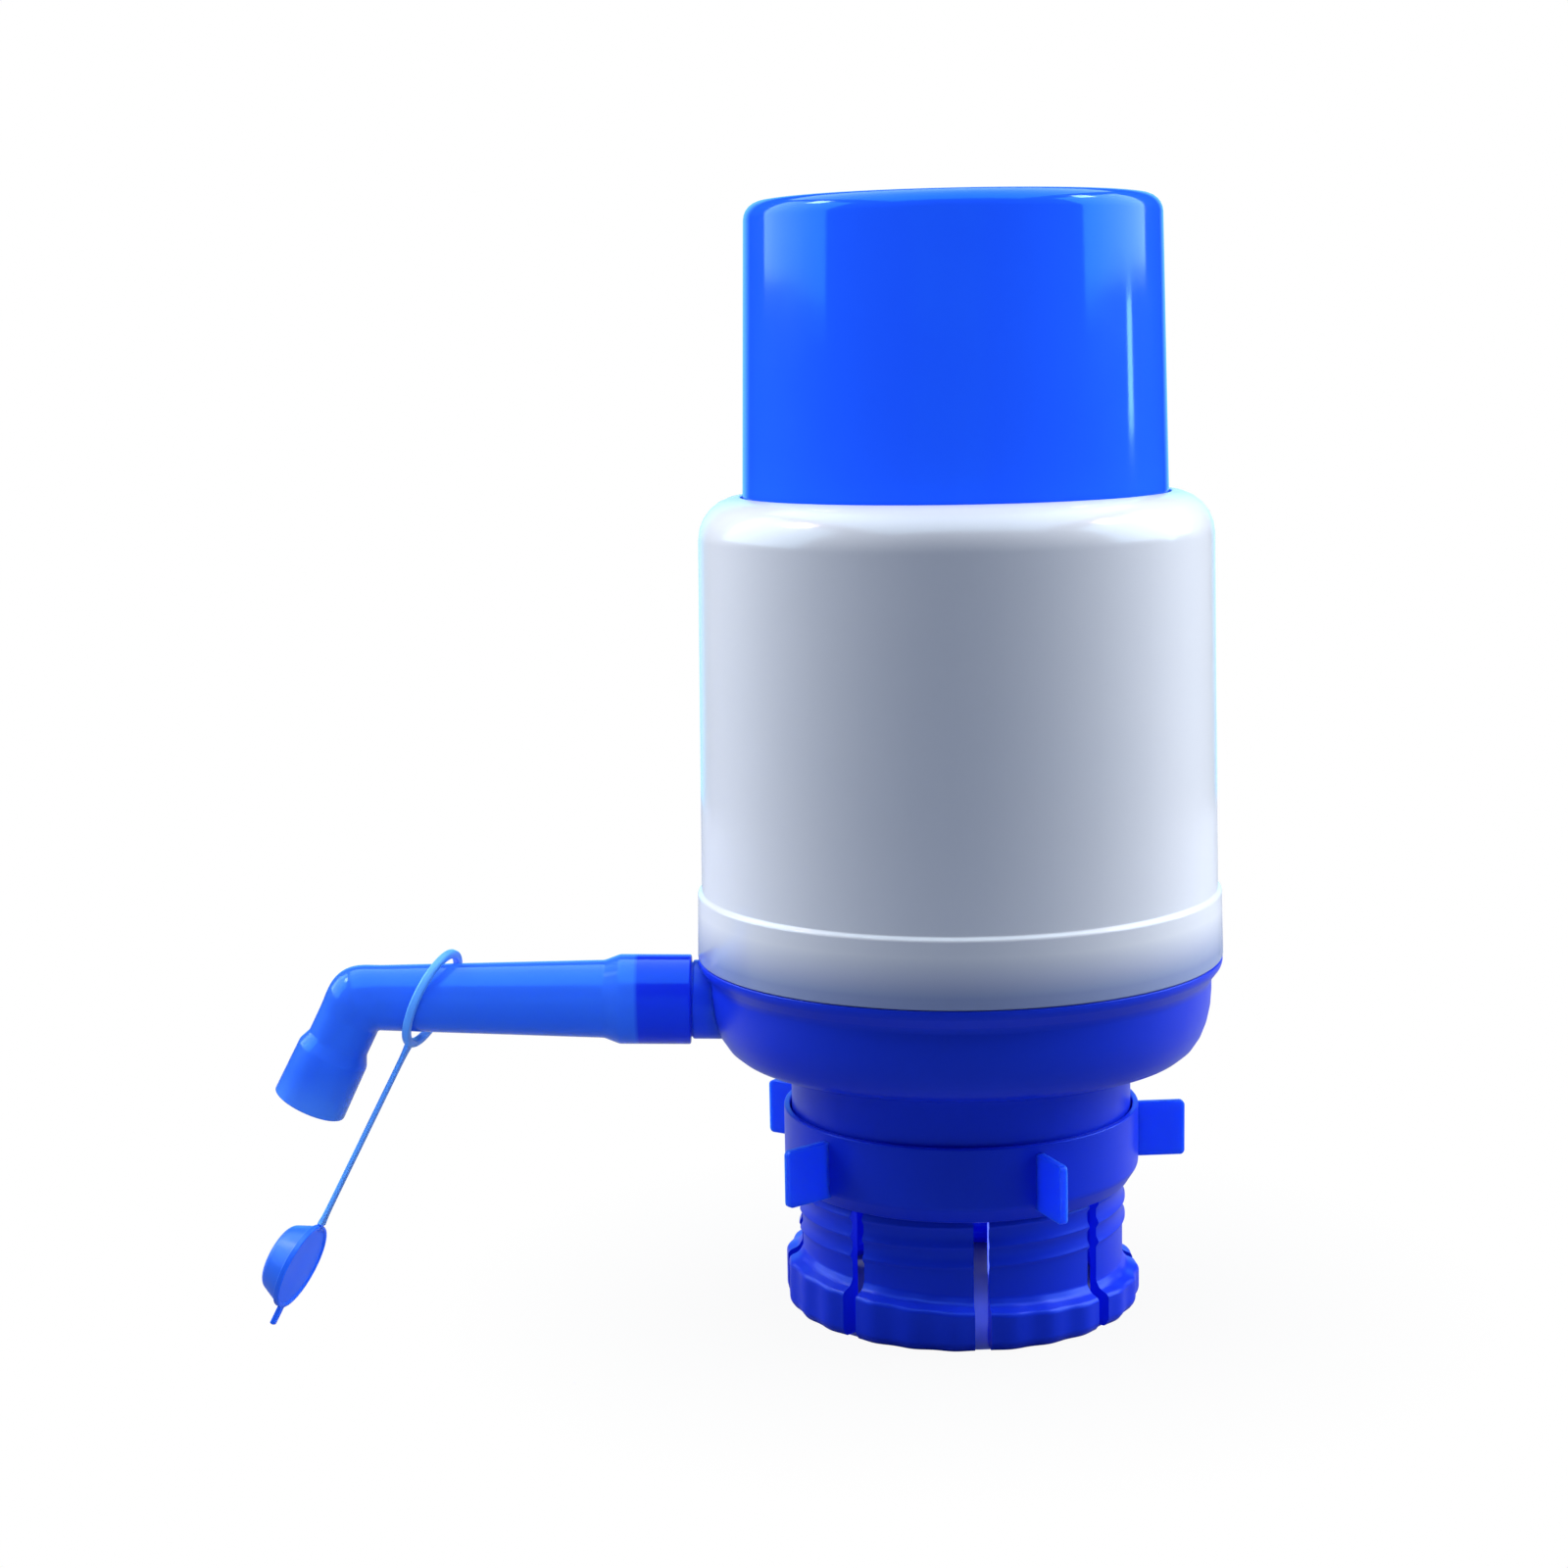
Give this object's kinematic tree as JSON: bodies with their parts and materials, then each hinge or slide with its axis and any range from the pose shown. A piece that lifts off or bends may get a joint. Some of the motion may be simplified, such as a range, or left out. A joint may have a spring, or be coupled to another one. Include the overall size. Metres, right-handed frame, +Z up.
{
  "type": "water jug hand pump",
  "caption": "Hand pump for a large water jug: a press cap over a bellows in a round casing, a claw collet with a winged clamp ring, and a bent swivel spout with a tethered dust cap.",
  "frame": {"origin": "centre of the bounding box's bottom face, on the plane that the collet's foot stands on", "axes": "+Z up along the pump's axis, towards the press cap; the spout points to -X; +Y completes a right-handed frame"},
  "size_m": [0.1772, 0.0964, 0.2017],
  "materials": {
    "press_cap_blue": "smooth glossy blue plastic",
    "casing_white": "smooth glossy white plastic",
    "base_blue": "smooth deep blue plastic, slightly see-through at thin edges",
    "spout_blue": "slightly see-through blue plastic",
    "leash_blue": "soft light blue plastic",
    "inner_white": "plain natural white plastic",
    "rubber_black": "matt black rubber",
    "silicone_white": "matt white silicone",
    "spring_steel": "bright steel wire and screws"
  },
  "bodies": {
    "base": {"casing": "casing_white", "pump_base": "base_blue", "collet": "base_blue", "jug_gasket": "silicone_white", "dip_tube_nipple": "inner_white", "riser_elbow": "inner_white", "valve_plate": "inner_white", "outlet_valve": "rubber_black", "bellows": "rubber_black", "bellows_clamp": "inner_white", "clamp_screw_1": "spring_steel", "clamp_screw_2": "spring_steel", "clamp_screw_3": "spring_steel", "return_spring": "spring_steel"},
    "press": {"press_cap": "press_cap_blue", "head_plate": "inner_white", "inlet_valve": "rubber_black"},
    "ring": {"clamp_ring": "base_blue"},
    "spout": {"spout": "spout_blue"},
    "leash": {"leash_ring": "leash_blue"},
    "strap": {"leash_strap": "leash_blue"},
    "cap": {"dust_cap": "leash_blue"}
  },
  "joints": [
    {"name": "press", "type": "slide", "parent": "base", "child": "press", "axis": [0, 0, -1], "range_m": [0, 0.042], "stiffness_N_per_m": 400, "springref_m": -0.03, "deforming": ["bellows", "return_spring"]},
    {"name": "clamp_ring_turn", "type": "hinge", "parent": "base", "child": "ring", "pos_m": [0.04038, 0, 0.0303], "axis": [0, 0, 1], "range_deg": [-180, 180]},
    {"name": "spout_swivel", "type": "hinge", "parent": "base", "child": "spout", "pos_m": [-0.00572, 0, 0.05725], "axis": [-0.9997, 0, 0.0244], "continuous": true},
    {"name": "leash_slide", "type": "slide", "parent": "spout", "child": "leash", "axis": [0.9997, 0, -0.0244], "range_m": [-0.003, 0.016]},
    {"name": "strap_swing", "type": "hinge", "parent": "leash", "child": "strap", "pos_m": [-0.06175, -0.00209, 0.04991], "axis": [0.1572, 0.9379, -0.3092], "range_deg": [-45, 12], "stiffness_Nm_per_rad": 0.01},
    {"name": "cap_flex", "type": "hinge", "parent": "strap", "child": "cap", "pos_m": [-0.07781, -0.00965, 0.01883], "axis": [0.1572, 0.9379, -0.3092], "range_deg": [-40, 40], "stiffness_Nm_per_rad": 0.01}
  ]
}
